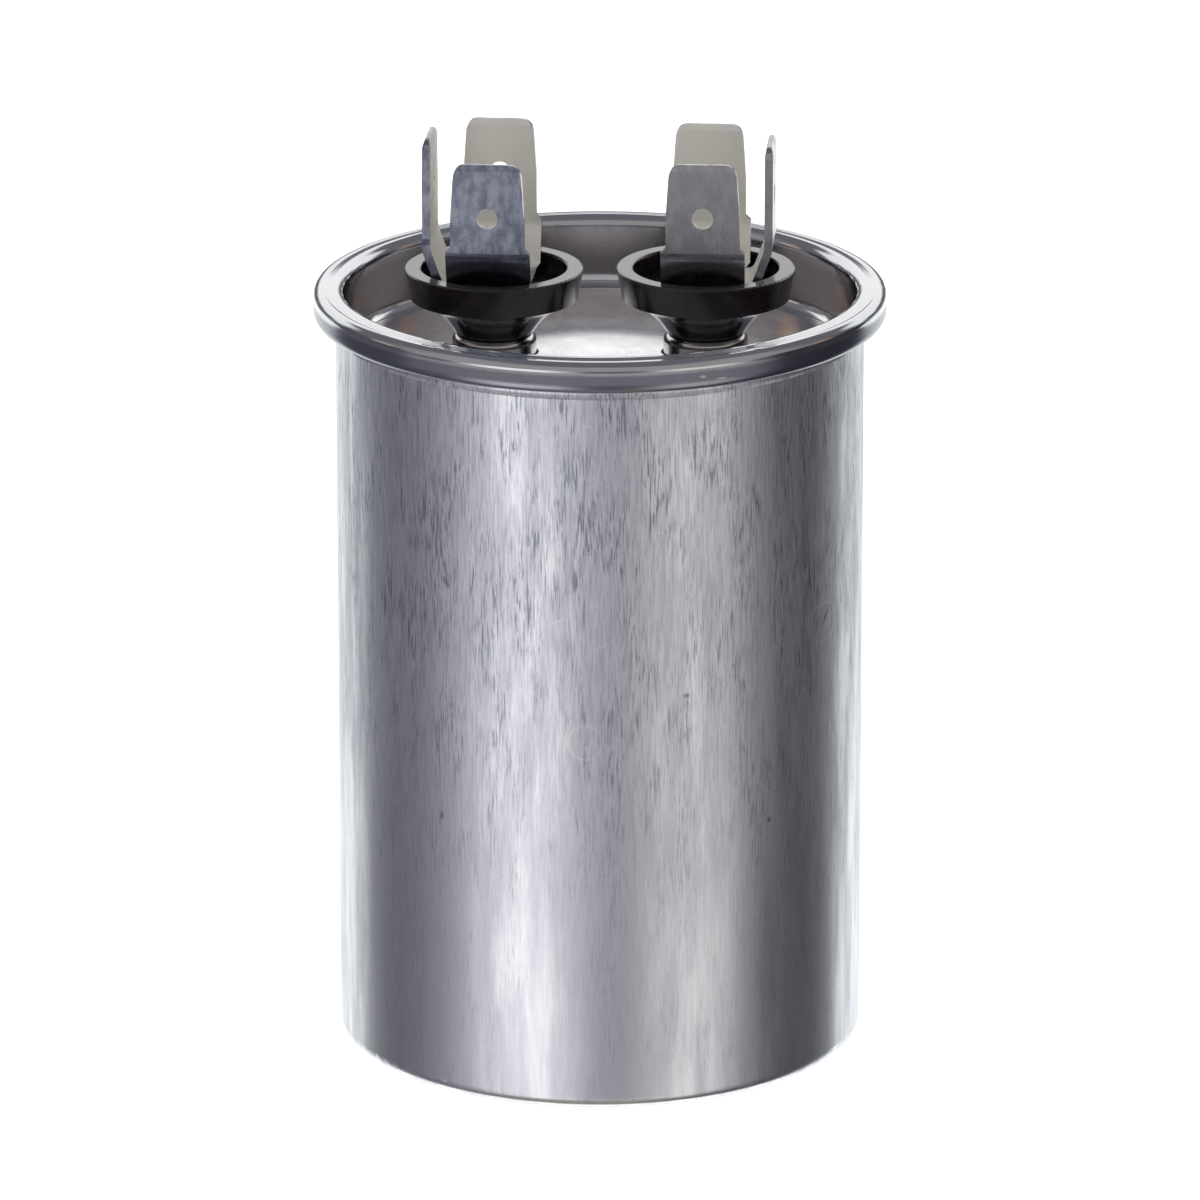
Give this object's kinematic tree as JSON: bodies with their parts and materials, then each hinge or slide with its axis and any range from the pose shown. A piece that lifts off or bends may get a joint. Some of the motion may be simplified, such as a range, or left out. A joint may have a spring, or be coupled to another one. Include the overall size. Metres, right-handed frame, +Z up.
{
  "type": "motor run capacitor",
  "caption": "Round motor run capacitor in a seamed aluminium can, with two insulated push-on terminals on a recessed lid.",
  "frame": {"origin": "centre of the can's flat base", "axes": "+Z up along the can's axis towards the terminals, +X from the left terminal to the right one"},
  "size_m": [0.0488, 0.0488, 0.0796],
  "materials": {
    "can_aluminium": "drawn, bare, with upright draw marks",
    "lid_tinplate": "rolled and pressed, bright",
    "seam_rubber": "matte",
    "black_phenolic": "moulded, glossy",
    "tinned_brass": "tin plated, bright",
    "rivet_metal": "tin plated, bright",
    "moulded_plastic": "moulded, satin",
    "tag_brass": "rolled, bright",
    "tinned_wire": "tin plated, bright",
    "tube_plastic": "extruded, satin",
    "solder": "satin",
    "zinc_spray": "sprayed, rough",
    "metallised_film": "wound, bright",
    "core_plastic": "moulded, satin",
    "pressboard": "rolled board, matte"
  },
  "bodies": {
    "root": {"can": "can_aluminium", "lid": "lid_tinplate", "seam_compound": "seam_rubber", "insulator_left": "black_phenolic", "insulator_right": "black_phenolic", "terminal_left": "tinned_brass", "terminal_right": "tinned_brass", "rivet_left": "rivet_metal", "rivet_right": "rivet_metal", "gasket_left": "seam_rubber", "gasket_right": "seam_rubber", "inner_washer_left": "moulded_plastic", "inner_washer_right": "moulded_plastic", "contact_tag_left": "tag_brass", "contact_tag_right": "tag_brass", "interrupter_disc": "moulded_plastic", "lead_left": "tinned_wire", "lead_right": "tinned_wire", "lead_tube_left": "tube_plastic", "lead_tube_right": "tube_plastic", "solder_top": "solder", "solder_bottom": "solder", "end_spray_top": "zinc_spray", "end_spray_bottom": "zinc_spray", "film_winding": "metallised_film", "winding_core": "core_plastic", "element_sleeve": "pressboard", "bottom_cup": "core_plastic"}
  },
  "joints": []
}
